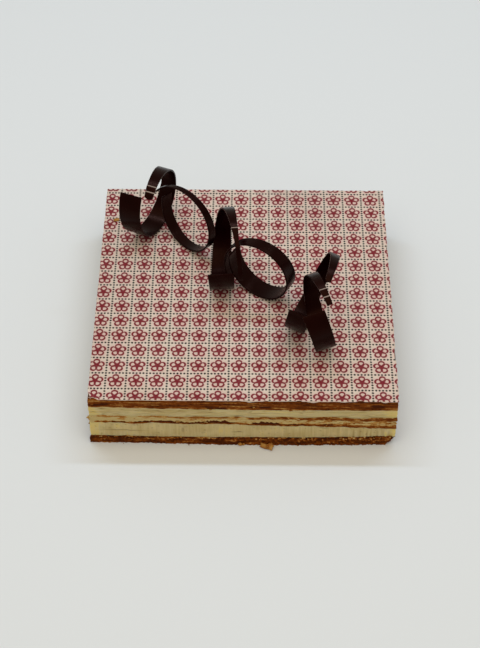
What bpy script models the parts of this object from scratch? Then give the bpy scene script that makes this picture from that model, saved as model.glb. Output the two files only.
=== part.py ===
"""Mille-feuille, a square cake for sharing: three baked puff pastry sheets, two layers of pastry cream,
a thin icing sheet, and six dark chocolate ribbons curled into upright loops that stand on the icing.

Metres, +Z up. The origin is at the middle of the underside, on the surface that the cake stands on.
"""
import math
import random

import bmesh
import bpy
from mathutils import Matrix, Vector

# Driving dimensions
CAKE_SIDE = 0.160
ICING_TOP = 0.0343
GAP = 0.0003

# Layers from the bottom up: node name, kind of layer, thickness
LAYERS = (
    ("bottom_pastry", "pastry", 0.0056),
    ("lower_cream", "cream", 0.0084),
    ("middle_pastry", "pastry", 0.0059),
    ("upper_cream", "cream", 0.0061),
    ("top_pastry", "pastry", 0.0058),
    ("icing", "icing", None),
)

# Outline of a layer, seen from above
COLUMNS_PER_SIDE = 34
CUT_FACE_DEPTH = 0.010
SIDES = 4

# Relief of the cut faces: height up the layer as a share of its thickness, and how far in that level lies
PASTRY_LEVELS = ((0.0, 0.0012), (0.22, 0.0005), (0.42, 0.0014), (0.62, 0.0006), (0.82, 0.0011), (1.0, 0.0008))
CREAM_LEVELS = ((0.0, 0.0012), (0.35, 0.0007), (0.7, 0.0007), (1.0, 0.0011))
ICING_LEVELS = ((0.0, 0.0004), (1.0, 0.0002))
FLAKE_DEPTH = 0.0009
CREAM_DEPTH = 0.0004
ICING_CHIP_DEPTH = 0.0007
CREAM_NICK_SHARE = 0.06
CREAM_NICK_DEPTH = 0.0012
CRUSHED_CORNER_REACH = 0.012
CRUSHED_CORNER_DEPTH = 0.0045
INTERFACE_WAVE = 0.0004

# Chocolate ribbons
RIBBON_THICKNESS = 0.0009
RIBBON_SECTIONS = 73
TAPER_POWER = 1.5

# Each curl: node name, middle of the loop over the icing (x, y), heading of the loop's axis, lean of the axis,
# radius, angle where the wide end starts, sweep in which the ribbon narrows, sweep of the narrow tail after it,
# drift along the axis in a full turn, width of the wide end and width of the tail. Angles are in degrees, and
# the ribbon's angle is counted from the far side of the loop, over its top.
CURLS = (
    ("chocolate_curl_left", -0.0521, 0.0483, -23, 1, 0.0194, -226, 360, 0, 0.0104, 0.0128, 0.0049),
    ("chocolate_ring_left", -0.0327, 0.0339, 228, 7, 0.0205, -181, 329, 0, 0.0134, 0.0072, 0.0018),
    ("chocolate_curl_middle", -0.0102, 0.0087, 6, -1, 0.0217, -185, 312, 62, 0.0105, 0.0138, 0.0024),
    ("chocolate_ring_middle", 0.0086, -0.0028, 240, 1, 0.0188, -180, 357, 45, 0.0085, 0.0120, 0.0039),
    ("chocolate_curl_right", 0.0390, -0.0364, 16, 10, 0.0196, -228, 355, 0, 0.0096, 0.0119, 0.0029),
    ("chocolate_curl_right_back", 0.0374, -0.0248, -17, -15, 0.0224, -191, 303, 1, 0.0080, 0.0116, 0.0031),
)

COLOURS = {
    "pastry": (0.30, 0.13, 0.035),
    "cream": (0.62, 0.50, 0.24),
    "icing": (0.62, 0.54, 0.47),
    "chocolate": (0.020, 0.009, 0.007),
}
ROUGHNESS = {"pastry": 0.75, "cream": 0.45, "icing": 0.35, "chocolate": 0.28}


def make_material(node_name, kind):
    material = bpy.data.materials.new(node_name)
    material.use_nodes = True
    shader = material.node_tree.nodes["Principled BSDF"]
    shader.inputs["Base Color"].default_value = (*COLOURS[kind], 1.0)
    shader.inputs["Roughness"].default_value = ROUGHNESS[kind]
    material.diffuse_color = (*COLOURS[kind], 1.0)
    return material


def add_object(node_name, kind, body):
    """Make the bmesh an object of its own, with its faces pointing out."""
    bmesh.ops.recalc_face_normals(body, faces=body.faces)
    mesh = bpy.data.meshes.new(node_name)
    body.to_mesh(mesh)
    body.free()
    mesh.materials.append(make_material(node_name, kind))
    part = bpy.data.objects.new(node_name, mesh)
    bpy.context.scene.collection.objects.link(part)
    return part


def loft(rings):
    """A closed solid through rings of points: the first ring is filled, then extruded from ring to ring."""
    body = bmesh.new()
    count = len(rings[0])
    bmesh.ops.create_circle(body, cap_ends=True, segments=count, radius=1.0)
    body.verts.ensure_lookup_table()
    ring_verts = list(body.verts)
    end_face = body.faces[:][0]
    for vert, point in zip(ring_verts, rings[0]):
        vert.co = point
    for ring in rings[1:]:
        grown = bmesh.ops.extrude_face_region(body, geom=[end_face, *end_face.edges])["geom"]
        end_face = next(item for item in grown if isinstance(item, bmesh.types.BMFace))
        next_verts = []
        for vert in ring_verts:
            grown_verts = [edge.other_vert(vert) for edge in vert.link_edges]
            next_verts.append(next(other for other in grown_verts if other in end_face.verts))
        for vert, point in zip(next_verts, ring):
            vert.co = point
        ring_verts = next_verts
    return body


def cut_outline():
    """Points around the square cake, each with the direction that points into the cake from its cut face."""
    half = CAKE_SIDE / 2
    outline = []
    for side in range(SIDES):
        turn = Matrix.Rotation(side * math.tau / SIDES, 3, "Z")
        for column in range(COLUMNS_PER_SIDE):
            along = -half + CAKE_SIDE * column / COLUMNS_PER_SIDE
            inward = Vector((1, 1, 0)) if column == 0 else Vector((0, 1, 0))
            outline.append((turn @ Vector((along, -half, 0)), turn @ inward))
    return outline


def broken_depths(rng, count, deepest):
    """Depths of flakes along a cut edge: each flake keeps its depth for one to three columns."""
    depths = []
    while len(depths) < count:
        depths += [rng.uniform(0, deepest)] * rng.randint(1, 3)
    return depths[:count]


def smooth_depths(rng, count, deepest):
    """Depths that rise and fall slowly along a cut edge and close on themselves."""
    waves = [(rng.randint(3, 30), rng.uniform(0, math.tau)) for _ in range(5)]
    depths = []
    for column in range(count):
        angle = math.tau * column / count
        height = sum(math.sin(turns * angle + phase) for turns, phase in waves) / len(waves)
        depths.append(deepest * (0.5 + 0.5 * height))
    return depths


def interface_wave(level, column, count):
    """How far the boundary between two layers rises or dips at a column of the cut face."""
    if level in (0, len(LAYERS) - 1, len(LAYERS)):
        return 0.0
    angle = math.tau * column / count
    return INTERFACE_WAVE * (math.sin(23 * angle + level) + math.sin(41 * angle + 2 * level)) / 2


def crushed_corner(point):
    """Extra depth at the bottom right corner of the front, which is broken off."""
    half = CAKE_SIDE / 2
    distance = (point - Vector((half, -half, 0))).length
    return CRUSHED_CORNER_DEPTH * max(0.0, 1 - distance / CRUSHED_CORNER_REACH)


def level_depths(rng, kind, count):
    if kind == "pastry":
        return broken_depths(rng, count, FLAKE_DEPTH)
    if kind == "icing":
        return smooth_depths(rng, count, ICING_CHIP_DEPTH)
    depths = smooth_depths(rng, count, CREAM_DEPTH)
    return [depth + CREAM_NICK_DEPTH * (rng.random() < CREAM_NICK_SHARE) for depth in depths]


def layer_rings(index, kind, bottom, top):
    """Rings of a layer from the flat middle of its underside, round its cut face, to the middle of its top."""
    rng = random.Random(index + 1)
    outline = cut_outline()
    count = len(outline)
    levels = {"pastry": PASTRY_LEVELS, "cream": CREAM_LEVELS, "icing": ICING_LEVELS}[kind]
    inner_share = 1 - 2 * CUT_FACE_DEPTH / CAKE_SIDE
    inner = [point * inner_share for point, _ in outline]
    rings = [[point + Vector((0, 0, bottom)) for point in inner]]
    for share, level_depth in levels:
        depths = level_depths(rng, kind, count)
        ring = []
        for column, (point, inward) in enumerate(outline):
            depth = level_depth + depths[column]
            if kind == "icing" and column % COLUMNS_PER_SIDE == COLUMNS_PER_SIDE // 2:
                depth = 0.0
            if index == 0:
                depth += crushed_corner(point)
            low = bottom + interface_wave(index, column, count)
            high = top + interface_wave(index + 1, column, count)
            ring.append(point + inward * depth + Vector((0, 0, low + (high - low) * share)))
        rings.append(ring)
    rings.append([point + Vector((0, 0, top)) for point in inner])
    return rings


def add_layers():
    bottom = 0.0
    for index, (node_name, kind, thickness) in enumerate(LAYERS):
        top = ICING_TOP if thickness is None else bottom + thickness
        add_object(node_name, kind, loft(layer_rings(index, kind, bottom, top)))
        bottom = top + GAP


def curl_rings(heading, lean, radius, start, sweep, tail, drift, wide_end, narrow_end):
    """Cross-sections of a tapered ribbon wound around a level or leaning axis, about the loop's middle."""
    turned = Matrix.Rotation(math.radians(heading), 3, "Z") @ Matrix.Rotation(-math.radians(lean), 3, "Y")
    axis = turned @ Vector((1, 0, 0))
    far_side = turned @ Vector((0, 1, 0))
    upward = turned @ Vector((0, 0, 1))
    rings = []
    for section in range(RIBBON_SECTIONS):
        wound = (sweep + tail) * section / (RIBBON_SECTIONS - 1)
        share = min(1.0, wound / sweep)
        angle = math.radians(start + wound)
        outward = far_side * math.cos(angle) + upward * math.sin(angle)
        middle = outward * radius + axis * (drift * (wound - sweep / 2) / 360)
        half_width = axis * ((wide_end - (wide_end - narrow_end) * share ** TAPER_POWER) / 2)
        half_thickness = outward * (RIBBON_THICKNESS / 2)
        rings.append([
            middle - half_width - half_thickness,
            middle + half_width - half_thickness,
            middle + half_width + half_thickness,
            middle - half_width + half_thickness,
        ])
    return rings


def add_curls():
    for node_name, x, y, *shape in CURLS:
        rings = curl_rings(*shape)
        lowest = min(point.z for ring in rings for point in ring)
        rest = Vector((x, y, ICING_TOP + GAP - lowest))
        curl = add_object(node_name, "chocolate", loft([[point + rest for point in ring] for ring in rings]))
        curl.data.shade_smooth()
        curl.data.set_sharp_from_angle(angle=math.radians(40))


def main():
    for leftover in list(bpy.data.objects):
        bpy.data.objects.remove(leftover, do_unlink=True)
    add_layers()
    add_curls()


if __name__ == "__main__":
    main()
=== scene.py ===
"""Looks of a square mille-feuille: pastry sheets, pastry cream, a printed icing sheet and chocolate ribbons.

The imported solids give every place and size. Lengths are metres, and sizes of relief are millimetres.
"""

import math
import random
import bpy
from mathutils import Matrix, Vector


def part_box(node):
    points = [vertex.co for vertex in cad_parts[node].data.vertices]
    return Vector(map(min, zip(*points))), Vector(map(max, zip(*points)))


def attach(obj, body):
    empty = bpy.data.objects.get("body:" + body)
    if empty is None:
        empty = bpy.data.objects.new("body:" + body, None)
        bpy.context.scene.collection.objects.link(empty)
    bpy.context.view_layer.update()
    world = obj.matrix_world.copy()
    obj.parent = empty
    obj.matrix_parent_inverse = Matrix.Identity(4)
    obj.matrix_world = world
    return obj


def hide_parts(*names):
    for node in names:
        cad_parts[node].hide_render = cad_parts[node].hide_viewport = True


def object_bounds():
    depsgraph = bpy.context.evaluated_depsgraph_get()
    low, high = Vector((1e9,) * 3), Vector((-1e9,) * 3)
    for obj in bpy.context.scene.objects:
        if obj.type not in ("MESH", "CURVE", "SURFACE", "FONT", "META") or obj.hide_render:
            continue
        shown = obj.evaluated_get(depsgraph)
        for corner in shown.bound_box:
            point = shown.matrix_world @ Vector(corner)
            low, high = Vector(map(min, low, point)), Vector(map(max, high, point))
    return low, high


bl_info = {
    "name": "Mille-feuille",
    "version": (1, 0, 0),
    "blender": (4, 5, 0),
    "location": "3D View > Sidebar > Mille-feuille",
    "description": "Makes the layers, print, chocolate ribbons and crumbs of a mille-feuille, and a stage",
    "category": "Object",
}

import bmesh
import bpy
from bpy.props import FloatProperty, FloatVectorProperty, IntProperty, PointerProperty
from mathutils import Matrix, Vector, noise

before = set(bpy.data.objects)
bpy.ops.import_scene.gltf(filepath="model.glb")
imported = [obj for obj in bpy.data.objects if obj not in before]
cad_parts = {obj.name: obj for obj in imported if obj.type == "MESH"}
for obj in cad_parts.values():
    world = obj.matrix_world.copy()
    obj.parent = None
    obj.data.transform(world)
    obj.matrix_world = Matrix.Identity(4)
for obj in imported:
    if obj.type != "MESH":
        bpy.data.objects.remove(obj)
CAD_BOX = [list(corner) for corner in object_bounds()]
HALF_SIDE = CAD_BOX[1][0]

MM = 0.001

# The layers from the bottom up. Each stands for the solid of the same name.
LAYERS = ("bottom_pastry", "lower_cream", "middle_pastry", "upper_cream", "top_pastry", "icing")
LAYER_BOXES = {name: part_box(name) for name in LAYERS}

# How far each join between two layers sits above or below the middle of the gap between their solids,
# on the left, in the middle and on the right of the cake, in mm: the sheets aren't quite level.
JOIN_SHIFTS = ((-0.3, -1.6, 0.4), (1.7, 0.3, -1.8), (0.8, 0.4, 0.7), (1.4, -0.3, 0.2), (0.75, 0.75, 1.05))
# How far each join waves up and down, in mm
JOIN_WAVES = (0.4, 0.8, 0.9, 0.35, 0.15)

# What the front shows, in mm along it. Where the icing's edge hangs over the pastry: middle, half width, drop
DROOPS = ((3.0, 4.5, 0.9), (36.0, 4.0, 0.9), (52.0, 3.0, 0.4), (62.0, 3.0, 0.7), (73.0, 3.0, 0.8))
# Where the top sheet's leaves have parted: middle, length, height as a share of the sheet
PARTED = (
    (-74.5, 8.5, 0.30), (-17.0, 3.5, 0.13), (-11.5, 6.0, 0.11), (11.5, 5.5, 0.30), (5.0, 3.0, 0.36),
    (69.5, 6.5, 0.45))
# Where the middle sheet's lower leaf has parted from it: middle, length, how wide open from 0 to 1
SLOTS = (
    (-64, 9, 0.3), (-51, 10, 0.55), (-38, 14, 0.75), (-26, 7, 0.8), (-13, 15, 1.0), (12, 13, 0.9),
    (28, 8, 0.35), (44, 7, 0.3))
# Nicks in the lower cream: middle, height as a share, width, height
NICKS = ((-31.5, 0.55, 1.6, 3.6), (-3.0, 0.42, 6.0, 1.1), (-63.0, 0.45, 26.0, 0.9), (42.0, 0.85, 5.5, 0.9))
# How far the foot of the right front corner is pushed in, where that starts along the front, and where it
# ends along the side
CRUSHED_DEPTH, CRUSHED_FROM, CRUSHED_TO = 5.6, 62, -58

# Faces up the cut face of a layer of cream and of the icing
CREAM_LEVELS = 26
ICING_LEVELS = 5
# Shares of a layer's texture map that its flat faces take. Only the icing's top shows.
HIDDEN_FLAT_SHARE = 0.16
ICING_FLAT_SHARE = 0.94

# How much darker than the others each pastry sheet is baked, and how strongly its crumbs show
SHEETS = {"bottom_pastry": (0.16, 1.0), "middle_pastry": (0.0, 0.45), "top_pastry": (0.08, 0.4)}
CRUMB_SIZE = 0.0011
# The print: blossoms along a side, dots from one blossom to the next, and how far off centre it was cut
BLOSSOMS_PER_SIDE = 15
DOTS_PER_BLOSSOM = 6
PRINT_OFFSET = (0.0021, 0.0030, 0)

# Chocolate ribbons, in the same values as their solids: middle of the loop over the icing (x, y), heading of
# the loop's axis, lean of the axis, radius, angle where the wide end starts, sweep in which the ribbon
# narrows, sweep of the narrow tail after it, drift along the axis in a full turn, width of the wide end and
# of the tail. Angles are in degrees.
CURLS = {
    "chocolate_curl_left": (-0.0521, 0.0483, -23, 1, 0.0194, -226, 360, 0, 0.0104, 0.0128, 0.0049),
    "chocolate_ring_left": (-0.0327, 0.0339, 228, 7, 0.0205, -181, 329, 0, 0.0134, 0.0072, 0.0018),
    "chocolate_curl_middle": (-0.0102, 0.0087, 6, -1, 0.0217, -185, 312, 62, 0.0105, 0.0138, 0.0024),
    "chocolate_ring_middle": (0.0086, -0.0028, 240, 1, 0.0188, -180, 357, 45, 0.0085, 0.0120, 0.0039),
    "chocolate_curl_right": (0.0390, -0.0364, 16, 10, 0.0196, -228, 355, 0, 0.0096, 0.0119, 0.0029),
    "chocolate_curl_right_back": (0.0374, -0.0248, -17, -15, 0.0224, -191, 303, 1, 0.0080, 0.0116, 0.0031),
}
TAPER_POWER = 1.5

# Cross creases where a ribbon cracked as it was lifted: distances from its tip in mm
CREASES = {
    "chocolate_curl_left": (4.0, 7.4),
    "chocolate_curl_middle": (31.0,),
    "chocolate_curl_right": (4.5, 9.0),
}
# How far the ribbon stands proud at a crease, and the length in which it settles again, in mm
CREASE_RISE, CREASE_REACH = 0.35, 4.5
# Ribbons whose tip is round, and the length in mm in which it narrows
ROUND_TIPS = ("chocolate_curl_left",)
TIP_ROUNDING = 1.6

# Flakes torn half loose on each side: the sheet, how many, lowest and highest place as a share of the sheet
TORN_FLAKES = (
    ("bottom_pastry", 40, 0.5, 1.05), ("middle_pastry", 34, 0.05, 1.0), ("top_pastry", 12, 0.0, 0.4))
# Lowest middle of a torn flake, so that it clears the table, in mm
FLAKE_FLOOR = 0.7
# Flakes that have come off: long, wide and thick, the middle, the turns about x, y and z, and how well baked
LOOSE_FLAKES = (
    ((0.0068, 0.0026, 0.0004), (0.0127, -0.0835, 0.0012), (0.25, -0.05, -0.40), 0.36),
    ((0.0040, 0.0024, 0.0004), (0.0143, -0.0835, 0.0020), (0.5, 0.25, 0.55), 0.50),
    ((0.0034, 0.0019, 0.0003), (-0.0735, 0.0535, 0.0350), (0.08, 0.05, 0.3), 0.36),
    ((0.0042, 0.0018, 0.0003), (-0.0799, -0.0795, 0.0185), (1.3, 1.0, 0.2), 0.18),
)
# Crumbs that lie at the front: x, y, radius, how well baked. The others are strewn round the cake.
FRONT_CRUMBS = ((-0.0013, -0.0820, 0.0012, 0.35), (0.0006, -0.0818, 0.0008, 0.3))
STREWN_CRUMBS = 44

# Camera: turned to the right, up and about its own axis, in degrees, and the point that it looks at
CAMERA_ANGLES = (0.47, 47.24, 0.10)
CAMERA_AIM = (-0.00217, -0.00854, 0.015)
CAMERA_LENS = 86.85


def linear(code):
    """An sRGB hex code as the linear colour that a shader takes."""
    shares = [int(code[i:i + 2], 16) / 255 for i in (1, 3, 5)]
    return (*[c / 12.92 if c <= 0.04045 else ((c + 0.055) / 1.055) ** 2.4 for c in shares], 1.0)


def colour_property(name, description, code):
    """A colour in the panel, from its sRGB hex code."""
    return FloatVectorProperty(
        name=name, description=description, subtype="COLOR", size=4, min=0, max=1, default=linear(code))


def length_property(name, description, default):
    """A length in the panel, in metres."""
    return FloatProperty(name=name, description=description, default=default, unit="LENGTH")


class CakeSettings(bpy.types.PropertyGroup):
    """Pastry and cream"""
    columns: IntProperty(
        name="Columns", description="Faces along each cut face", default=400, min=40, max=500)
    rise: length_property("Face height", "Height of a face of the cut pastry", 0.0002)
    golden: colour_property("Golden pastry", "Palest leaves", "#BD8C4A")
    caramel: colour_property("Baked pastry", "Baked leaves", "#82410E")
    burnt: colour_property("Dark pastry", "Darkest leaves", "#4A1F06")
    cream: colour_property("Pastry cream", "Cooked egg cream", "#C8B179")


class PrintSettings(bpy.types.PropertyGroup):
    """Icing and its print"""
    pitch: length_property("Pitch", "Distance between two blossoms", 2 * HALF_SIDE / BLOSSOMS_PER_SIDE)
    reach: length_property("Blossom radius", "From a blossom's middle to a petal's end", 0.0045)
    stroke: length_property("Stroke", "Width of the printed line", 0.00112)
    dot: length_property("Dot", "Width of a dot between the blossoms", 0.0012)
    icing: colour_property("Icing", "Sugar icing", "#DAC9B9")
    crimson: colour_property("Blossoms", "Ink of the blossoms", "#78001A")
    bleed: colour_property("Bleed", "Ink that has crept into the icing", "#C8506A")
    dark: colour_property("Dots", "Ink of the dots", "#1A0808")


class ChocolateSettings(bpy.types.PropertyGroup):
    """Chocolate ribbons"""
    thickness: length_property("Thickness", "Thickness of a ribbon", 0.0009)
    rounding: length_property("Edge rounding", "Width of a ribbon's worn edge", 0.00018)
    rows: IntProperty(
        name="Rows", description="Faces along a ribbon", default=170, min=40, max=400)
    colour: colour_property("Chocolate", "Dark chocolate", "#130202")


class StageSettings(bpy.types.PropertyGroup):
    """Table, lights and camera"""
    floor: colour_property("Floor", "Pale table top", "#E2E3E4")
    world: FloatProperty(
        name="Room light", description="Strength of the light from all round", default=0.453)
    soft_box: FloatProperty(
        name="Soft box", description="Power of the large light over the front", default=5.9, unit="POWER")
    strip: FloatProperty(
        name="Strip light", description="Power of the narrow light over the back", default=7.4, unit="POWER")
    camera_distance: length_property("Camera distance", "From the camera to the cake", 0.8658)


def set_inputs(tree, node, inputs):
    """Set a node's inputs. Each is a value, or the socket that feeds it."""
    for name, value in inputs.items():
        if isinstance(value, bpy.types.NodeSocket):
            tree.links.new(value, node.inputs[name])
        else:
            node.inputs[name].default_value = value


def add_node(tree, kind, inputs=None, stops=(), **settings):
    """Add a node with its settings and inputs, and with the colours of its ramp."""
    node = tree.nodes.new(kind)
    for name, value in settings.items():
        setattr(node, name, value)
    set_inputs(tree, node, inputs or {})
    for index, (position, colour) in enumerate(stops):
        elements = node.color_ramp.elements
        stop = elements[index] if index < 2 else elements.new(position)
        stop.position = position
        stop.color = colour
    return node


def new_material(name):
    """A material, with its node tree and its shader."""
    material = bpy.data.materials.new(name)
    material.use_nodes = True
    tree = material.node_tree
    return material, tree, tree.nodes["Principled BSDF"]


def finish_piece(name, body, material):
    """Make the bmesh a piece of the cake, with its faces smooth."""
    mesh = bpy.data.meshes.new(name)
    body.to_mesh(mesh)
    body.free()
    mesh.materials.append(material)
    mesh.shade_smooth()
    piece = bpy.data.objects.new(name, mesh)
    bpy.context.scene.collection.objects.link(piece)
    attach(piece, "root")
    return piece


def ease(low, high, value):
    """0 below low, 1 above high, and a smooth rise between them."""
    share = min(1.0, max(0.0, (value - low) / (high - low)))
    return share * share * (3 - 2 * share)


def ripple(point, across, upright, seed):
    """Smooth noise from -1 to 1 in bumps of that many mm across and upright."""
    return noise.noise(Vector((point.x / across, point.y / across, point.z / upright + 17.3 * seed)))


def crumble(point, size, seed):
    """Rough noise from about -1 to 1 whose largest bumps are size mm wide."""
    return noise.fractal(point / size + Vector((0, 0, 31.7 * seed)), 0.8, 2.1, 3)


def band(value, middle, half_width, soft):
    """1 inside a band round its middle and 0 outside it, with soft edges."""
    return 1 - ease(half_width - soft / 2, half_width + soft / 2, abs(value - middle))


def in_front(point):
    """Whether a point, in mm, is on the front cut face."""
    return point.y < 1 - HALF_SIDE / MM


def from_corner(point, across):
    """Distance in mm from the front corner at that x."""
    return math.hypot(point.x - across, point.y + 80)


# Layers


def join_height(index, point):
    """Height in mm of a join between two layers, counted from the underside of the cake, at a point in mm."""
    if index == 0:
        return 0.0
    if index == len(LAYERS):
        return LAYER_BOXES["icing"][1].z / MM
    middle = (LAYER_BOXES[LAYERS[index - 1]][1].z + LAYER_BOXES[LAYERS[index]][0].z) / 2 / MM
    left, centre, right = JOIN_SHIFTS[index - 1]
    across = point.x * MM / HALF_SIDE
    shift = centre + (right - left) / 2 * across + ((right + left) / 2 - centre) * across * across
    flat = Vector((point.x, point.y, 0))
    wave = ripple(flat, 13, 1, index) + 0.45 * ripple(flat, 4, 1, index + 9)
    if index == 1:
        wave += 0.8 * crumble(flat, 1.8, 11)
    if index == len(LAYERS) - 1 and in_front(point):
        shift -= max(drop * band(point.x, middle_x, half / 2, half) for middle_x, half, drop in DROOPS)
    return middle + shift + JOIN_WAVES[index - 1] * wave


def leaf_relief(point, seed, leaf, flake, crumb):
    """A cut pastry sheet: leaves leaf mm thick, broken off unevenly, with grooves between them and crumbs.

    Like every relief here, it gives how far in the point lies in mm, its tone, which is how well baked it is
    with painted light and shade in places, and how much painted shade darkens its hollows.
    """
    flat = Vector((point.x, point.y, 0))
    sway = 0.9 * ripple(flat, 15, 1, seed) + 0.35 * ripple(flat, 5, 1, seed + 1)
    level = (point.z + sway) / leaf
    which = math.floor(level)
    within = level - which
    broken = noise.noise(Vector((point.x / 3.5, point.y / 3.5, which * 5.7 + seed)))
    groove = 1 - ease(0.0, 0.28, min(within, 1 - within))
    rough = crumble(point, 1.6, seed + 2)
    depth = flake * broken + 0.2 * groove + crumb * rough
    tone_and_painted_light = 0.5 + 0.55 * noise.noise(Vector((point.x / 11, point.y / 11, which * 3.1 + seed))) + 0.25 * rough
    # Painted shade darkens the grooves between the leaves and the pits among the crumbs
    return depth, tone_and_painted_light, min(1.0, 0.3 * groove + 0.6 * max(0.0, rough - 0.25) * (crumb > 0.3))


def top_pastry_relief(point, share):
    """Close, evenly baked leaves, cut almost smooth, that have parted in a few places."""
    depth, tone_and_painted_light, hollow_shade = leaf_relief(point, 1, 0.95, 0.25, 0.10)
    if in_front(point):
        parted = max(band(point.x, middle, length / 2, 3.0) * band(share, height, 0.12, 0.08)
                     for middle, length, height in PARTED)
    else:
        parted = ease(0.3, 0.5, ripple(point, 9, 0.9, 23))
    low_edge = 1 - ease(0.0, 0.3, share)
    pale = low_edge * ease(-0.3, 0.3, ripple(point, 5, 1.2, 21) + 0.3 * crumble(point, 1.2, 24))
    streak = ripple(point, 14, 0.7, 22)
    # Painted shadow under the icing: a patchy dark band along the top of the sheet, left out near the left
    # front corner
    shade_under_icing = ease(0.8, 1.0, share) * ease(-0.2, 0.2, ripple(point, 16, 2, 25))
    shade_under_icing *= ease(6, 14, from_corner(point, -80))
    # The tone takes the painted shadow under the icing, and the parted leaves are drawn darker with painted
    # shade in their gaps
    tone_and_painted_light = 0.62 + 0.6 * (tone_and_painted_light - 0.5) + 0.4 * streak - 0.34 * pale * (1 - parted) + 0.25 * shade_under_icing
    return depth - 0.05 + 0.2 * parted, tone_and_painted_light + 0.4 * parted, max(0.5 * hollow_shade, parted, 0.3 * shade_under_icing)


def middle_pastry_relief(point, share):
    """Pale crumb and cream pressed between two brown leaves. The lower one has parted into slots, drawn dark
    with painted shade.
    """
    flat = Vector((point.x, point.y, 0))
    depth, tone_and_painted_light, hollow_shade = leaf_relief(point, 4, 1.05, 0.4, 0.2)
    right = ease(-25, 70, point.x)
    centre = ease(-50, -10, point.x)
    torn = crumble(flat, 2.4, 38) + 0.7 * crumble(flat, 1.0, 39)
    if in_front(point):
        slot = max(width * band(point.x, middle, length / 2, 5.0) for middle, length, width in SLOTS)
    else:
        slot = ease(-0.5, 0.2, ripple(flat, 12, 1, 33) + 0.3 * ripple(flat, 3, 1, 40)) * (1 - 0.55 * right)
    slot_low = 0.10 + 0.04 * ripple(flat, 4, 1, 31)
    slot_high = slot_low + 0.05 + 0.28 * slot + (0.04 + 0.11 * slot) * torn
    # Painted shade: the slot where the lower leaf has parted is drawn dark
    dark = ease(0.0, 0.25, slot) * ease(slot_low - 0.02, slot_low + 0.02, share)
    dark *= 1 - ease(slot_high - 0.02, slot_high + 0.02, share)
    fringe = 1 - ease(slot_high + 0.01, slot_high + 0.05 + 0.16 * right, share)
    lip = slot * band(share, slot_high + 0.09, 0.06, 0.05)
    thin_middle = 0.89 - 0.05 * right + 0.07 * ripple(flat, 5, 1, 32) + 0.05 * torn
    thin = band(share, thin_middle, 0.11 + 0.03 * centre + 0.03 * right + 0.03 * torn, 0.12 - 0.04 * right)
    thin *= ease(-0.45, 0.1, ripple(flat, 7, 1, 34) + 0.4 * right) * (0.6 + 0.2 * centre + 0.2 * right)
    patch = ease(0.1, 0.6, ripple(point, 6, 1.6, 35) + 0.15 * right + 0.3 * torn)
    strand = 1 - ease(0.03, 0.13, abs(ripple(point, 10, 0.9, 37) + 0.1 * torn))
    strand *= 0.3 + 0.35 * centre + 0.35 * right
    mottle = 1 - 0.45 * ease(-0.1, 0.5, ripple(point, 2.6, 0.8, 45))
    browned = max(fringe * mottle, thin * mottle, (0.42 + 0.08 * centre) * patch, 0.9 * strand)
    browned *= ease(2.0, 4.5, from_corner(point, -80))
    tone_and_painted_light = -0.12 + 0.16 * (tone_and_painted_light - 0.5) + 0.87 * browned * (1 - lip)
    pressed = 0.3 * (1 - max(fringe, thin)) + 0.4 * max(0.0, ripple(point, 3.5, 1.2, 36))
    depth = 0.8 * depth + pressed + 0.3 * dark - 0.15 * lip - 0.3
    return depth, tone_and_painted_light, max(0.3 * hollow_shade, 0.95 * dark, 0.4 * thin * strand)


def bottom_pastry_relief(point, share):
    """The darkest sheet, crumbly at its top edge. It spreads a little at its foot."""
    depth, tone_and_painted_light, hollow_shade = leaf_relief(point, 7, 1.1, 0.4, 0.42)
    right = ease(-10, 30, point.x)
    high_edge = ease(0.45, 1.0, share)
    crumbs = max(0.0, crumble(point, 1.7, 41))
    specks = ease(0.2, 0.45, crumble(point, 1.1, 42)) * (0.45 + 0.55 * right)
    # Pits in the top edge, pushed in and drawn dark with painted shade
    pit = ease(0.1, 0.3, ripple(point, 2.2, 1.6, 43)) * ease(0.5, 0.75, share) * (0.4 + 0.6 * right)
    spread = (0.85 + band(point.x, 8, 42, 56) if in_front(point) else 0.6) * (1 - share)
    tone_and_painted_light = tone_and_painted_light + 0.22 - 0.6 * high_edge * crumbs - 0.8 * specks * (0.25 + 0.75 * high_edge) + 0.7 * pit
    return depth - spread + 0.7 * pit - 0.25 * specks, tone_and_painted_light, min(1.0, 0.8 * hollow_shade + pit) * (1 - specks)


def crushed_corner(point, share):
    """How far the foot of the right front corner is pushed in from the side, in mm."""
    beside = ease(CRUSHED_FROM, 80, point.x) ** 2 * (1 - ease(-80, CRUSHED_TO, point.y))
    return CRUSHED_DEPTH * (1 - share) ** 1.3 * beside


def painted_corner_glow(point):
    """Painted light: how much paler and yellower the cream is drawn near the cake's upright corners, where
    light shines through it, from 0 to 1.
    """
    return 1.6 * ease(72, 80, abs(point.x)) * ease(72, 80, abs(point.y))


def upper_cream_relief(point, share):
    """Cream dragged sideways by the knife."""
    drag = ripple(point, 22, 0.9, 51)
    fine = ripple(point, 9, 0.4, 52)
    ridge = 1 - ease(0.0, 0.09, abs(ripple(point, 18, 1.6, 53)))
    crease = ease(0.25, 0.5, ripple(point, 7, 0.7, 54))
    swell = math.sin(math.pi * share)
    depth = 0.05 - 0.2 * swell + 0.2 * drag + 0.1 * fine + 0.2 * ridge + 0.25 * crease
    # The ridge grooves are drawn darker with painted shade, and the corners paler with painted light
    tone = 0.5 + 0.8 * drag + 0.5 * fine - 0.4 * ridge + painted_corner_glow(point)
    return depth, tone, 0.3 * ridge + 0.3 * crease


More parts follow.
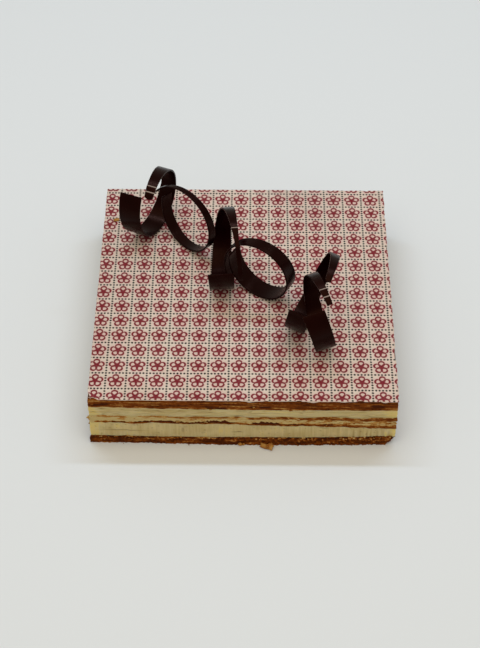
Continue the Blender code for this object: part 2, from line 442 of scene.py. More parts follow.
def lower_cream_relief(point, share):
    """Cream cut straight down, with the knife's fine upright lines and a few nicks."""
    flat = Vector((point.x, point.y, 0))
    line = ripple(point, 1.5, 24, 61)
    coarse = ease(35, 65, point.x) * (1 - ease(0.45, 0.95, share)) * ripple(flat, 1.4, 1, 64)
    broad = ripple(point, 7, 5, 62)
    swell = math.sin(math.pi * share)
    nick = 0.0
    if in_front(point):
        tall = (LAYER_BOXES["lower_cream"][1].z - LAYER_BOXES["lower_cream"][0].z) / MM
        nick = max(band(math.hypot((point.x - middle) / wide, (share - height) * tall / high), 0.0, 0.45, 0.4)
                   for middle, height, wide, high in NICKS)
    dot = ease(0.42, 0.55, ripple(point, 1.6, 1.2, 63))
    depth = 0.05 - 0.2 * swell + 0.06 * line + 0.2 * broad + 0.45 * coarse + 0.3 * nick + 0.12 * dot
    # The coarse grooves are drawn darker with painted shade and the corners paler with painted light; nicks,
    # dots and coarse grooves also get painted shade
    tone = 0.5 + 0.3 * line + 0.7 * broad - 1.1 * coarse + painted_corner_glow(point)
    return depth, tone, 0.45 * nick + 0.4 * dot + 0.5 * max(0.0, coarse)


def icing_relief(point, share):
    """A thin sheet whose cut edge is chipped in places."""
    flat = Vector((point.x, point.y, 0))
    scallop = ripple(flat, 7, 1, 71) + 0.5 * ripple(flat, 1.6, 1, 72)
    chip = ease(0.2, 0.5, ripple(flat, 3, 1, 73)) * (0.4 + 0.6 * ease(0, 60, point.x))
    broken = 1.6 * (1 - ease(1.5, 6.0, from_corner(point, -80)))
    proud = 0.1 if in_front(point) else 0.35
    return 0.2 * scallop + 0.6 * chip + broken - proud + 0.1 * share ** 3, 0.5 + 0.5 * scallop, 0.3 * chip


RELIEFS = {
    "bottom_pastry": bottom_pastry_relief,
    "lower_cream": lower_cream_relief,
    "middle_pastry": middle_pastry_relief,
    "upper_cream": upper_cream_relief,
    "top_pastry": top_pastry_relief,
    "icing": icing_relief,
}


def straight_sheet(columns, levels):
    """The four cut faces of a square sheet, split into columns and levels. Heights run from 0 to 1."""
    body = bmesh.new()
    bmesh.ops.create_cube(body, size=1.0)
    bmesh.ops.translate(body, verts=body.verts, vec=(0, 0, 0.5))
    bmesh.ops.scale(body, verts=body.verts, vec=(2 * HALF_SIDE, 2 * HALF_SIDE, 1))
    flat = [face for face in body.faces if abs(face.normal.z) > 0.5]
    bmesh.ops.delete(body, geom=flat, context="FACES_ONLY")
    upright = [edge for edge in body.edges if abs(edge.verts[0].co.z - edge.verts[1].co.z) > 0.5]
    bmesh.ops.subdivide_edges(body, edges=upright, cuts=levels - 1, use_grid_fill=True)
    level = [edge for edge in body.edges if abs(edge.verts[0].co.z - edge.verts[1].co.z) < 0.5 / levels]
    bmesh.ops.subdivide_edges(body, edges=level, cuts=columns - 1, use_grid_fill=True)
    return body


def close_sheet(body):
    """Fill the underside and the top of a sheet, flat and with a sharp rim."""
    rims = [edge for edge in body.edges if edge.is_boundary]
    middle = sum(vert.co.z for edge in rims for vert in edge.verts) / (2 * len(rims))
    for above in (False, True):
        loop = [edge for edge in rims if (edge.verts[0].co.z > middle) == above]
        bmesh.ops.triangle_fill(body, edges=loop, use_beauty=True, normal=(0, 0, 1 if above else -1))
    bmesh.ops.recalc_face_normals(body, faces=body.faces)


def lay_out_map(body, flat_share):
    """Texture map for the export: the four cut faces are strips, under the two flat faces."""
    layer = body.loops.layers.uv.new("OFBake")
    low = min(vert.co.z for vert in body.verts)
    high = max(vert.co.z for vert in body.verts)
    strip = (1 - flat_share) / 4
    top_share = flat_share * (0.96 if flat_share > 0.5 else 0.5)
    for face in body.faces:
        middle = face.calc_center_median()
        flat = len(face.verts) == 3
        faces_x = not flat and abs(middle.x) > abs(middle.y)
        if flat and middle.z > (low + high) / 2:
            base, tall = 1 - flat_share, top_share
        elif flat:
            base, tall = 1 - flat_share + top_share, flat_share - top_share
        else:
            base, tall = strip * (2 * faces_x + ((middle.x if faces_x else middle.y) > 0)), strip
        for loop in face.loops:
            place = loop.vert.co
            along = place.y if faces_x else place.x
            up = (place.y / HALF_SIDE + 1) / 2 if flat else (place.z - low) / (high - low)
            loop[layer].uv = (0.5 + 0.495 * along / HALF_SIDE, base + tall * (0.03 + 0.94 * up))


def make_layer(name, levels, material, flat_share=HIDDEN_FLAT_SHARE):
    """A layer of the cake, with relief on its cut faces, in place of its solid."""
    body = straight_sheet(bpy.context.scene.cake.columns, levels)
    tone_and_painted_light = body.verts.layers.float.new("tone_and_painted_light")
    hollow_shade = body.verts.layers.float.new("hollow_shade")
    index = LAYERS.index(name)
    edge = HALF_SIDE - 1e-5
    for vert in body.verts:
        share = vert.co.z
        point = vert.co / MM
        bottom = join_height(index, point)
        top = join_height(index + 1, point)
        point.z = bottom + (top - bottom) * share
        depth, vert[tone_and_painted_light], vert[hollow_shade] = RELIEFS[name](point, share)
        inward = Vector((*(-math.copysign(abs(side) > edge, side) for side in vert.co.xy), 0))
        if index == 0:
            point.x -= crushed_corner(point, share)
        vert.co = (point + inward * depth) * MM
    close_sheet(body)
    lay_out_map(body, flat_share)
    piece = finish_piece(name + "_layer", body, material)
    piece.data.set_sharp_from_angle(angle=math.radians(60))
    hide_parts(name)
    return piece


def pastry_material(name, tone=0.0, grit=0.4):
    """Puff pastry, baked dark and cut: dry, buttery leaves that scatter light, with only a dull gloss."""
    settings = bpy.context.scene.cake
    material, tree, shader = new_material(name)
    place = add_node(tree, "ShaderNodeTexCoord").outputs["Object"]
    # Leaves are 0.2 mm thin. They are drawn 0.6 mm apart, which is as fine as shows from a step away.
    leaves = add_node(tree, "ShaderNodeMapping", {"Vector": place, "Scale": (160, 160, 1600)}).outputs[0]
    leaf_noise = add_node(
        tree, "ShaderNodeTexNoise",
        {"Vector": leaves, "Scale": 1.0, "Detail": 4.0, "Roughness": 0.6}).outputs[0]
    crumbs = add_node(
        tree, "ShaderNodeTexNoise",
        {"Vector": place, "Scale": 1 / CRUMB_SIZE, "Detail": 4.0, "Roughness": 0.7}).outputs[0]
    tone_and_painted_light, hollow_shade = (
        add_node(tree, "ShaderNodeAttribute", attribute_name=name).outputs["Fac"]
        for name in ("tone_and_painted_light", "hollow_shade"))
    streaks = add_node(
        tree, "ShaderNodeMath", {0: leaf_noise, 1: 0.9, 2: tone - 0.45 - grit / 2},
        operation="MULTIPLY_ADD").outputs[0]
    spots = add_node(
        tree, "ShaderNodeMath", {0: crumbs, 1: grit, 2: streaks}, operation="MULTIPLY_ADD").outputs[0]
    baked = add_node(tree, "ShaderNodeMath", {0: tone_and_painted_light, 1: spots}, operation="ADD").outputs[0]
    colour = add_node(
        tree, "ShaderNodeValToRGB", {"Fac": baked},
        stops=((0.02, settings.cream), (1.0, settings.burnt), (0.22, settings.golden),
               (0.6, settings.caramel))).outputs[0]
    # Painted shade: grooves, gaps and pits are darkened towards a deep brown
    shaded = add_node(
        tree, "ShaderNodeMix", {0: hollow_shade, 6: colour, 7: linear("#4A200C")}, data_type="RGBA").outputs[2]
    height = add_node(tree, "ShaderNodeMath", {0: leaf_noise, 1: crumbs}, operation="ADD").outputs[0]
    bump = add_node(
        tree, "ShaderNodeBump", {"Height": height, "Strength": 0.5, "Distance": 0.3 * MM}).outputs[0]
    set_inputs(tree, shader, {
        "Base Color": shaded, "Normal": bump, "Roughness": 0.7, "IOR": 1.45, "Specular IOR Level": 0.05})
    return material


def cream_material(name, across, upright):
    """Pastry cream, cooked and cut cold: smooth and moist, so light goes a little way in."""
    settings = bpy.context.scene.cake
    material, tree, shader = new_material(name)
    place = add_node(tree, "ShaderNodeTexCoord").outputs["Object"]
    drag = add_node(
        tree, "ShaderNodeMapping",
        {"Vector": place, "Scale": (1 / across, 1 / across, 1 / upright)}).outputs[0]
    lines = add_node(
        tree, "ShaderNodeTexNoise",
        {"Vector": drag, "Scale": 1.0, "Detail": 3.0, "Roughness": 0.6}).outputs[0]
    mottle = add_node(
        tree, "ShaderNodeTexNoise", {"Vector": place, "Scale": 1 / (11.1 * MM), "Detail": 2.0}).outputs[0]
    tone_and_painted_light, hollow_shade = (
        add_node(tree, "ShaderNodeAttribute", attribute_name=name).outputs["Fac"]
        for name in ("tone_and_painted_light", "hollow_shade"))
    uneven = add_node(
        tree, "ShaderNodeMath", {0: lines, 1: 1.6, 2: mottle}, operation="MULTIPLY_ADD").outputs[0]
    tone = add_node(tree, "ShaderNodeMath", {0: tone_and_painted_light, 1: 0.6, 2: uneven}, operation="MULTIPLY_ADD").outputs[0]
    tone = add_node(
        tree, "ShaderNodeMapRange", {"Value": tone, "From Min": 1.05, "From Max": 2.15}).outputs[0]
    # The cream is paler where it is thicker. Its yellow top stop is painted light, for the glow of light
    # through the cream at the corners.
    red, green, blue, _ = settings.cream
    pale = (min(1, red * 1.08), min(1, green * 1.13), min(1, blue * 1.25), 1)
    deep = (red * 0.84, green * 0.80, blue * 0.68, 1)
    corner_glow_colour = (min(1, red * 1.18), min(1, green * 1.18), blue * 0.92, 1)
    colour = add_node(
        tree, "ShaderNodeValToRGB", {"Fac": tone},
        stops=((0.0, deep), (1.0, corner_glow_colour), (0.72, pale))).outputs[0]
    # Painted shade darkens the nicks, creases and grooves towards a dull olive brown
    shaded = add_node(
        tree, "ShaderNodeMix", {0: hollow_shade, 6: colour, 7: linear("#86692C")}, data_type="RGBA").outputs[2]
    bump = add_node(
        tree, "ShaderNodeBump", {"Height": lines, "Strength": 0.5, "Distance": 0.3 * MM}).outputs[0]
    set_inputs(tree, shader, {
        "Base Color": shaded, "Normal": bump, "Roughness": 0.42, "IOR": 1.45, "Subsurface Weight": 0.5,
        "Subsurface Radius": (1.0, 0.75, 0.35), "Subsurface Scale": 4 * MM})
    return material


def print_shares(tree, place):
    """Where the print lies on the icing: the shares of blossom ink, of its bleed and of dot ink.

    Blossoms of five outlined petals stand in a square grid, with rows of small dots between them.
    """
    settings = bpy.context.scene.icing_print
    half = settings.pitch / 2
    edge = settings.stroke / 2
    reach = settings.reach - edge
    flat = add_node(
        tree, "ShaderNodeVectorMath", {0: place, 1: (1, 1, 0), 2: PRINT_OFFSET},
        operation="MULTIPLY_ADD").outputs[0]
    # The printer's lines waver by a few tenths of a mm, every 2.4 mm.
    waver = add_node(
        tree, "ShaderNodeTexNoise",
        {"Vector": flat, "Scale": 1 / (2.38 * MM), "Detail": 1.0}).outputs["Color"]
    spot = add_node(
        tree, "ShaderNodeVectorMath", {0: waver, 1: (0.4 * MM, 0.4 * MM, 0), 2: flat},
        operation="MULTIPLY_ADD").outputs[0]
    cell = add_node(
        tree, "ShaderNodeVectorMath", {0: spot, 1: (half, half, 1), 2: (-half, -half, -1)},
        operation="WRAP").outputs[0]
    radius = add_node(tree, "ShaderNodeVectorMath", {0: cell}, operation="LENGTH").outputs["Value"]
    parts = add_node(tree, "ShaderNodeSeparateXYZ", {0: cell}).outputs
    angle = add_node(tree, "ShaderNodeMath", {0: parts[1], 1: parts[0]}, operation="ARCTAN2").outputs[0]
    # Five petals: the cosine of two and a half turns has five lobes of equal size.
    lobe = add_node(
        tree, "ShaderNodeMath", {0: angle, 1: 2.5, 2: -math.pi / 4}, operation="MULTIPLY_ADD").outputs[0]
    for operation in ("COSINE", "ABSOLUTE"):
        lobe = add_node(tree, "ShaderNodeMath", {0: lobe}, operation=operation).outputs[0]
    rounded = add_node(tree, "ShaderNodeMath", {0: lobe, 1: 0.55}, operation="POWER").outputs[0]
    outline = add_node(
        tree, "ShaderNodeMath", {0: rounded, 1: reach * 0.45, 2: reach * 0.55},
        operation="MULTIPLY_ADD").outputs[0]
    beyond = add_node(tree, "ShaderNodeMath", {0: radius, 1: outline}, operation="SUBTRACT").outputs[0]
    off_outline = add_node(tree, "ShaderNodeMath", {0: beyond}, operation="ABSOLUTE").outputs[0]
    # Lines from the eye to where two petals meet
    off_vein = radius
    for operation, other in (("MULTIPLY", lobe), ("MULTIPLY", 0.4), ("MAXIMUM", beyond)):
        off_vein = add_node(tree, "ShaderNodeMath", {0: off_vein, 1: other}, operation=operation).outputs[0]
    off_eye = add_node(
        tree, "ShaderNodeMath", {0: radius, 1: settings.stroke * 0.7}, operation="SUBTRACT").outputs[0]
    nearest = off_outline
    for other in (off_vein, off_eye):
        nearest = add_node(tree, "ShaderNodeMath", {0: nearest, 1: other}, operation="MINIMUM").outputs[0]

    # Two patterns of dots, one for the rows and one for the columns
    step = settings.pitch / DOTS_PER_BLOSSOM
    between = add_node(
        tree, "ShaderNodeVectorMath", {0: spot, 1: (half, half, 0)}, operation="ADD").outputs[0]
    off_dots = []
    for wide, high in ((half, step / 2), (step / 2, half)):
        row = add_node(
            tree, "ShaderNodeVectorMath", {0: between, 1: (wide, high, 1), 2: (-wide, -high, -1)},
            operation="WRAP").outputs[0]
        off_dots.append(add_node(tree, "ShaderNodeVectorMath", {0: row}, operation="LENGTH").outputs["Value"])
    off_dot = add_node(
        tree, "ShaderNodeMath", {0: off_dots[0], 1: off_dots[1]}, operation="MINIMUM").outputs[0]
    return [
        add_node(
            tree, "ShaderNodeMapRange", {"Value": away, "From Min": outside, "From Max": inside},
            interpolation_type="SMOOTHSTEP").outputs[0]
        for away, outside, inside in (
            (nearest, edge * 1.25, edge * 0.75), (nearest, edge * 4, edge),
            (off_dot, settings.dot * 0.62, settings.dot * 0.38))]


def icing_material():
    """Sugar icing with food ink, rolled thin and dried: smooth and matt, with ink that has bled a little."""
    settings = bpy.context.scene.icing_print
    material, tree, shader = new_material("printed_sugar_icing")
    place = add_node(tree, "ShaderNodeTexCoord").outputs["Object"]
    mottle = add_node(
        tree, "ShaderNodeTexNoise", {"Vector": place, "Scale": 1 / (26.3 * MM), "Detail": 3.0}).outputs[0]
    # Sugar grain is finer than 0.1 mm. It is drawn 1.1 mm wide, which is as fine as shows.
    grain = add_node(
        tree, "ShaderNodeTexNoise", {"Vector": place, "Scale": 1 / (1.11 * MM), "Detail": 3.0}).outputs[0]
    red, green, blue, _ = settings.icing
    colour = add_node(
        tree, "ShaderNodeValToRGB", {"Fac": mottle},
        stops=((0.35, (red * 0.97, green * 0.92, blue * 0.92, 1)), (0.7, (red, green, blue, 1)))).outputs[0]
    ink, bleed, dots = print_shares(tree, place)
    up = add_node(tree, "ShaderNodeNewGeometry").outputs["True Normal"]
    up = add_node(tree, "ShaderNodeSeparateXYZ", {0: up}).outputs[2]
    on_top = add_node(tree, "ShaderNodeMath", {0: up, 1: 0.7}, operation="GREATER_THAN").outputs[0]
    density = add_node(
        tree, "ShaderNodeMapRange",
        {"Value": grain, "From Min": 0.3, "From Max": 0.7, "To Min": 0.92}).outputs[0]
    inks = ((bleed, settings.bleed, 0.18), (ink, settings.crimson, 1.0), (dots, settings.dark, 1.0))
    for share, ink_colour, strength in inks:
        weight = share
        for other in (strength, density, on_top):
            weight = add_node(tree, "ShaderNodeMath", {0: weight, 1: other}, operation="MULTIPLY").outputs[0]
        colour = add_node(
            tree, "ShaderNodeMix", {0: weight, 6: colour, 7: ink_colour}, data_type="RGBA").outputs[2]
    bump = add_node(
        tree, "ShaderNodeBump", {"Height": grain, "Strength": 0.15, "Distance": 0.1 * MM}).outputs[0]
    set_inputs(tree, shader, {
        "Base Color": colour, "Normal": bump, "Roughness": 0.6, "IOR": 1.45, "Specular IOR Level": 0.2})
    return material


class CAKE_OT_pastry(bpy.types.Operator):
    """Three baked puff pastry sheets"""
    bl_idname = "cake.pastry"
    bl_label = "Pastry Sheets"

    def execute(self, context):
        for name, (tone, grit) in SHEETS.items():
            low, high = LAYER_BOXES[name]
            levels = round((high.z - low.z) / context.scene.cake.rise)
            make_layer(name, levels, pastry_material("baked_puff_" + name, tone, grit))
        return {"FINISHED"}


class CAKE_OT_cream(bpy.types.Operator):
    """Two layers of pastry cream"""
    bl_idname = "cake.cream"
    bl_label = "Pastry Cream"

    def execute(self, context):
        make_layer("lower_cream", CREAM_LEVELS, cream_material("cut_pastry_cream", 0.0009, 0.02))
        make_layer("upper_cream", CREAM_LEVELS, cream_material("dragged_pastry_cream", 0.016, 0.0007))
        return {"FINISHED"}


class CAKE_OT_icing(bpy.types.Operator):
    """Thin printed icing sheet"""
    bl_idname = "cake.icing"
    bl_label = "Printed Icing"

    def execute(self, context):
        make_layer("icing", ICING_LEVELS, icing_material(), flat_share=ICING_FLAT_SHARE)
        return {"FINISHED"}


# Chocolate ribbons


def chocolate_material():
    """Dark chocolate, spread on a smooth sheet and curled as it set: silky, with faint lines along it."""
    settings = bpy.context.scene.chocolate
    material, tree, shader = new_material("set_dark_chocolate")
    place = add_node(tree, "ShaderNodeTexCoord").outputs["Object"]
    bloom = add_node(
        tree, "ShaderNodeTexNoise", {"Vector": place, "Scale": 1 / (8.33 * MM), "Detail": 3.0}).outputs[0]
    along, across, crease_glint = (
        add_node(tree, "ShaderNodeAttribute", attribute_name=name).outputs["Fac"]
        for name in ("along", "across", "crease_glint"))
    # Spreading lines: 0.5 mm apart across the ribbon and about 15 mm long
    lanes = add_node(tree, "ShaderNodeCombineXYZ", {0: along, 1: across, 2: 0.0}).outputs[0]
    lanes = add_node(tree, "ShaderNodeMapping", {"Vector": lanes, "Scale": (70, 2000, 1)}).outputs[0]
    lines = add_node(tree, "ShaderNodeTexNoise", {"Vector": lanes, "Scale": 1.0, "Detail": 2.0}).outputs[0]
    red, green, blue, _ = settings.colour
    darker = (red * 0.8, green * 0.75, blue * 0.75, 1)
    lighter = (red * 1.2, green * 1.2, blue * 1.2, 1)
    colour = add_node(
        tree, "ShaderNodeValToRGB", {"Fac": bloom}, stops=((0.3, darker), (0.75, lighter))).outputs[0]
    # Painted highlight: a pale line across the ribbon at each crease, where the raised ribbon catches the
    # light.
    broken = add_node(
        tree, "ShaderNodeMix", {0: crease_glint, 6: colour, 7: linear("#A89488")}, data_type="RGBA").outputs[2]
    gloss = add_node(
        tree, "ShaderNodeMapRange",
        {"Value": bloom, "From Min": 0.3, "From Max": 0.7, "To Min": 0.20, "To Max": 0.30}).outputs[0]
    bump = add_node(
        tree, "ShaderNodeBump", {"Height": lines, "Strength": 0.25, "Distance": 0.12 * MM}).outputs[0]
    # Cocoa under the gloss colours what it mirrors, and keeps the pale icing's reflection dim.
    set_inputs(tree, shader, {
        "Base Color": broken, "Normal": bump, "Roughness": gloss, "IOR": 1.5, "Specular IOR Level": 0.10,
        "Specular Tint": linear("#FFAC8C")})
    return material


def ribbon_shares(rows, creases, length):
    """Shares of the ribbon's length where it gets a row of points, closer together at its creases."""
    shares = {row / rows for row in range(rows + 1)}
    for crease in creases:
        middle = 1 - crease * MM / length
        shares = {share for share in shares if abs(share - middle) * length > 0.5 * MM}
        shares |= {middle + offset * MM / length for offset in (-0.4, -0.12, 0.12, 0.4)}
    return sorted(shares)


def ribbon_body(name):
    """A band, one edge wide, that is drawn round its loop row by row and narrows to its tip."""
    x, y, heading, lean, radius, start, sweep, tail, drift, wide_end, narrow_end = CURLS[name]
    creases = CREASES.get(name, ())
    turned = Matrix.Rotation(math.radians(heading), 3, "Z") @ Matrix.Rotation(-math.radians(lean), 3, "Y")
    length = radius * math.radians(sweep + tail)
    body = bmesh.new()
    across = body.verts.layers.float.new("across")
    along = body.verts.layers.float.new("along")
    crease_glint = body.verts.layers.float.new("crease_glint")
    ends = [body.verts.new((side, 0, 0)) for side in (-0.5, 0.5)]
    body.edges.new(ends)
    bmesh.ops.subdivide_edges(body, edges=body.edges, cuts=7)
    for vert in body.verts:
        vert[across] = vert.co.x
    row_edges = list(body.edges)
    row = list(body.verts)
    for share in ribbon_shares(bpy.context.scene.chocolate.rows, creases, length):
        if share > 0:
            grown = bmesh.ops.extrude_edge_only(body, edges=row_edges)["geom"]
            row = [item for item in grown if isinstance(item, bmesh.types.BMVert)]
            row_edges = [item for item in grown if isinstance(item, bmesh.types.BMEdge)]
        from_tip = (1 - share) * length / MM
        wound = (sweep + tail) * share
        width = wide_end - (wide_end - narrow_end) * min(1.0, wound / sweep) ** TAPER_POWER
        if name in ROUND_TIPS and from_tip < TIP_ROUNDING:
            width *= math.sqrt(max(0.05, 1 - (1 - from_tip / TIP_ROUNDING) ** 2))
        proud = CREASE_RISE * sum(
            ease(-0.14, 0.14, crease - from_tip) * (1 - ease(0, CREASE_REACH, crease - from_tip))
            for crease in creases)
        angle = math.radians(start + wound)
        outward = Vector((0, math.cos(angle), math.sin(angle)))
        ragged = 0.00007 * noise.noise(Vector((share * length / 0.003, heading, 0)))
        for vert in row:
            side = vert[across] * width + (abs(vert[across]) > 0.49) * ragged
            place = outward * (radius + proud * MM) + Vector((side + drift * (wound - sweep / 2) / 360, 0, 0))
            vert.co = turned @ place
            vert[along] = share * length
            # Painted highlight across the ribbon at each crease
            vert[crease_glint] = max((band(from_tip, crease, 0.2, 0.2) for crease in creases), default=0.0)
    for vert in body.verts:
        vert[across] *= wide_end
    lowest = min(vert.co.z for vert in body.verts) - bpy.context.scene.chocolate.thickness / 2
    bmesh.ops.translate(body, verts=body.verts, vec=(x, y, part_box(name)[0].z - lowest))
    return body


class CAKE_OT_chocolate(bpy.types.Operator):
    """Six dark chocolate ribbons, curled into loops"""
    bl_idname = "cake.chocolate"
    bl_label = "Chocolate Ribbons"

    def execute(self, context):
        material = chocolate_material()
        for name in CURLS:
            piece = finish_piece(name + "_ribbon", ribbon_body(name), material)
            wall = piece.modifiers.new("wall", "SOLIDIFY")
            wall.thickness = context.scene.chocolate.thickness
            wall.offset = 0
            edge = piece.modifiers.new("edge", "BEVEL")
            edge.width = context.scene.chocolate.rounding
            edge.segments = 2
            edge.limit_method = "ANGLE"
            edge.angle_limit = math.radians(50)
            piece.modifiers.new("normals", "WEIGHTED_NORMAL")
            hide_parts(name)
        return {"FINISHED"}


# Flakes and crumbs


def add_flake(body, size, place, turn, rng):
    """A thin, bent scrap of pastry leaf, size (long, wide, thick)."""
    long, wide, thick = size
    made = bmesh.ops.create_grid(body, x_segments=5, y_segments=3, size=0.5)
    bend = rng.uniform(-0.25, 0.25)
    for vert in made["verts"]:
        torn = Vector((rng.uniform(-0.08, 0.08), rng.uniform(-0.15, 0.15), 0))
        vert.co += torn
        vert.co = Vector((vert.co.x * long, vert.co.y * wide, bend * long * vert.co.x ** 2))
    faces = list({face for vert in made["verts"] for face in vert.link_faces})
    walls = bmesh.ops.solidify(body, geom=faces, thickness=thick)["geom"]
    verts = {vert for item in [*walls, *faces] if isinstance(item, bmesh.types.BMFace) for vert in item.verts}
    bmesh.ops.transform(body, matrix=Matrix.Translation(place) @ turn, verts=list(verts))
    return verts


def torn_flakes(rng):
    """Flakes that stick out of the four cut faces."""
    flakes = bmesh.new()
    tone_and_painted_light = flakes.verts.layers.float.new("tone_and_painted_light")
    for side in range(4):
        face = Matrix.Rotation(side * math.tau / 4, 4, "Z")
        for name, count, low_share, high_share in TORN_FLAKES:
            index = LAYERS.index(name)
            for _ in range(count):
                along = rng.uniform(-HALF_SIDE * 0.985, HALF_SIDE * 0.985)
                spot = face @ Vector((along, -HALF_SIDE, 0)) / MM
                bottom, top = join_height(index, spot), join_height(index + 1, spot)
                height = max(FLAKE_FLOOR, bottom + (top - bottom) * rng.uniform(low_share, high_share))
                size = (rng.uniform(0.7, 2.2) * MM, rng.uniform(0.4, 0.9) * MM, rng.uniform(0.12, 0.22) * MM)
                turn = (Matrix.Rotation(rng.uniform(-0.25, 0.25), 4, "Y")
                        @ Matrix.Rotation(rng.uniform(-0.7, 0.9), 4, "X")
                        @ Matrix.Rotation(rng.uniform(-0.5, 0.5), 4, "Z"))
                place = Vector((along, -HALF_SIDE + rng.uniform(-0.2, 0.25) * MM, height * MM))
                tone = rng.uniform(0.35, 0.6) if name == "top_pastry" else rng.uniform(0.1, 0.55)
                for vert in add_flake(flakes, size, Vector(), turn, rng):
                    vert.co = face @ (vert.co + place)
                    vert[tone_and_painted_light] = tone
    return flakes


def loose_crumbs(rng):
    """Crumbs round the cake, and the flakes that have come off it."""
    crumbs = bmesh.new()
    tone_and_painted_light = crumbs.verts.layers.float.new("tone_and_painted_light")
    spots = list(FRONT_CRUMBS)
    for _ in range(STREWN_CRUMBS):
        side = rng.choice((0, 1, 2, 3))
        spot = Matrix.Rotation(side * math.tau / 4, 3, "Z") @ Vector(
            (rng.uniform(-0.076, 0.072), -HALF_SIDE - rng.triangular(0.0006, 0.0026, 0.0012), 0))
        spots.append((spot.x, spot.y, rng.triangular(0.0002, 0.0006, 0.0003), rng.uniform(0.0, 0.5)))
    for x, y, radius, tone in spots:
        made = bmesh.ops.create_icosphere(crumbs, subdivisions=1, radius=radius)["verts"]
        for vert in made:
            vert.co *= rng.uniform(0.7, 1.25)
            vert.co.z *= 0.75
            vert[tone_and_painted_light] = tone
        lowest = min(vert.co.z for vert in made)
        bmesh.ops.translate(crumbs, verts=made, vec=(x, y, -lowest))
    for size, place, (tilt, roll, heading), tone in LOOSE_FLAKES:
        turn = (Matrix.Rotation(heading, 4, "Z") @ Matrix.Rotation(roll, 4, "Y")
                @ Matrix.Rotation(tilt, 4, "X"))
        for vert in add_flake(crumbs, size, place, turn, rng):
            vert[tone_and_painted_light] = tone
    return crumbs


class CAKE_OT_crumbs(bpy.types.Operator):
    """Flakes that stick out of the cut faces, and crumbs round the cake"""
    bl_idname = "cake.crumbs"
    bl_label = "Flakes and Crumbs"

    def execute(self, context):
        rng = random.Random(5)
        for name, make in (("pastry_flakes", torn_flakes), ("pastry_crumbs", loose_crumbs)):
            body = make(rng)
            bmesh.ops.recalc_face_normals(body, faces=body.faces)
            piece = finish_piece(name, body, pastry_material("baked_puff_" + name))
        return {"FINISHED"}


# Stage


def area_light(name, size, place, aim, power, colour):
    """A soft box or strip light of that size, turned to the point that it lights."""
    light = bpy.data.lights.new(name, "AREA")
    light.shape = "RECTANGLE"
    light.size, light.size_y = size
    light.energy = power
    light.color = linear(colour)[:3]
    lamp = bpy.data.objects.new(name, light)
    lamp.location = place
    lamp.rotation_euler = (Vector(aim) - Vector(place)).to_track_quat("-Z", "Y").to_euler()
    bpy.context.scene.collection.objects.link(lamp)


def add_table(colour):
    """Matt painted board: pale, even and without a gloss."""
    body = bmesh.new()
    bmesh.ops.create_grid(body, x_segments=1, y_segments=1, size=2.5)
    mesh = bpy.data.meshes.new("table_top")
    body.to_mesh(mesh)
    body.free()
    floor = bpy.data.objects.new("table_top", mesh)
    bpy.context.scene.collection.objects.link(floor)
    material, _, shader = new_material("matt_painted_board")
    shader.inputs["Base Color"].default_value = colour
    shader.inputs["Roughness"].default_value = 0.9
    mesh.materials.append(material)


def add_camera(distance):
    """A camera that looks at CAMERA_AIM from that distance."""
    azimuth, elevation, roll = (math.radians(angle) for angle in CAMERA_ANGLES)
    level = math.cos(elevation)
    back = Vector((math.sin(azimuth) * level, -math.cos(azimuth) * level, math.sin(elevation)))
    camera = bpy.data.objects.new("camera", bpy.data.cameras.new("camera"))
    camera.data.sensor_width = 36
    camera.data.lens = CAMERA_LENS
    camera.data.clip_start = 0.01
    right = Vector((0, 0, 1)).cross(back).normalized()
    upward = back.cross(right)
    side = math.cos(roll) * right + math.sin(roll) * upward
    top = math.cos(roll) * upward - math.sin(roll) * right
    turn = Matrix((side, top, back)).transposed().to_4x4()
    camera.matrix_world = Matrix.Translation(Vector(CAMERA_AIM) + back * distance) @ turn
    bpy.context.scene.collection.objects.link(camera)
    bpy.context.scene.camera = camera


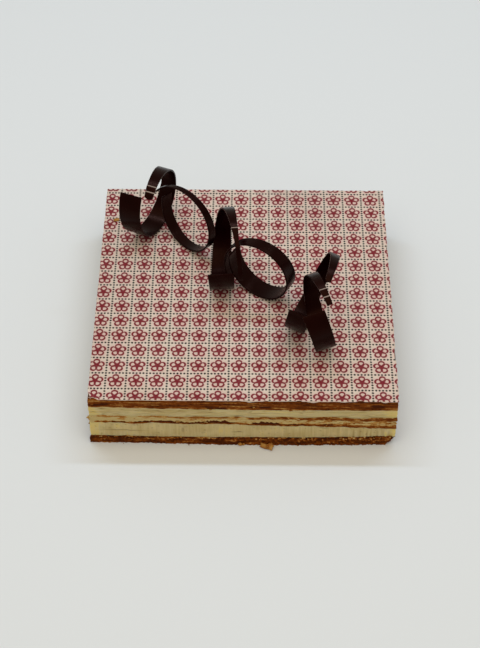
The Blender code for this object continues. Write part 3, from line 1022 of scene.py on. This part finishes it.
class CAKE_OT_stage(bpy.types.Operator):
    """Pale table, soft lights and the camera"""
    bl_idname = "cake.stage"
    bl_label = "Stage"

    def execute(self, context):
        scene = context.scene
        settings = scene.stage
        scene.view_settings.view_transform = "Standard"
        add_table(settings.floor)
        world = bpy.data.worlds.new("room")
        scene.world = world
        world.use_nodes = True
        background = world.node_tree.nodes["Background"]
        background.inputs["Color"].default_value = linear("#FFF9EA")
        background.inputs["Strength"].default_value = settings.world
        area_light("soft_box", (1.4, 1.2), (0, -0.35, 1.15), (0, -0.05, 0), settings.soft_box, "#FFF8E7")
        area_light("strip_light", (1.6, 0.07), (0, 0.44, 1.2), (0, 0, 0), settings.strip, "#C9DFF7")
        add_camera(settings.camera_distance)
        return {"FINISHED"}


class CAKE_PT_panel(bpy.types.Panel):
    """The cake's settings, and a button for each group of pieces"""
    bl_label = "Mille-feuille"
    bl_idname = "CAKE_PT_panel"
    bl_space_type = "VIEW_3D"
    bl_region_type = "UI"
    bl_category = "Mille-feuille"

    def draw(self, context):
        for group, operators in GROUPS:
            box = self.layout.box()
            settings = getattr(context.scene, group)
            for name in settings.__annotations__:
                box.prop(settings, name)
            for operator in operators:
                box.operator(operator.bl_idname)


GROUPS = (
    ("cake", (CAKE_OT_pastry, CAKE_OT_cream, CAKE_OT_crumbs)),
    ("icing_print", (CAKE_OT_icing,)),
    ("chocolate", (CAKE_OT_chocolate,)),
    ("stage", (CAKE_OT_stage,)),
)
SETTINGS = {
    "cake": CakeSettings,
    "icing_print": PrintSettings,
    "chocolate": ChocolateSettings,
    "stage": StageSettings,
}
CLASSES = (
    *SETTINGS.values(),
    *(operator for _, operators in GROUPS for operator in operators),
    CAKE_PT_panel,
)


def register():
    for cls in CLASSES:
        bpy.utils.register_class(cls)
    for name, group in SETTINGS.items():
        setattr(bpy.types.Scene, name, PointerProperty(type=group))


def unregister():
    for name in SETTINGS:
        delattr(bpy.types.Scene, name)
    for cls in reversed(CLASSES):
        bpy.utils.unregister_class(cls)


def main():
    """Make the whole cake and its stage."""
    register()
    bpy.ops.cake.pastry()
    bpy.ops.cake.cream()
    bpy.ops.cake.icing()
    bpy.ops.cake.chocolate()
    bpy.ops.cake.crumbs()
    bpy.ops.cake.stage()


if __name__ == "__main__":
    main()
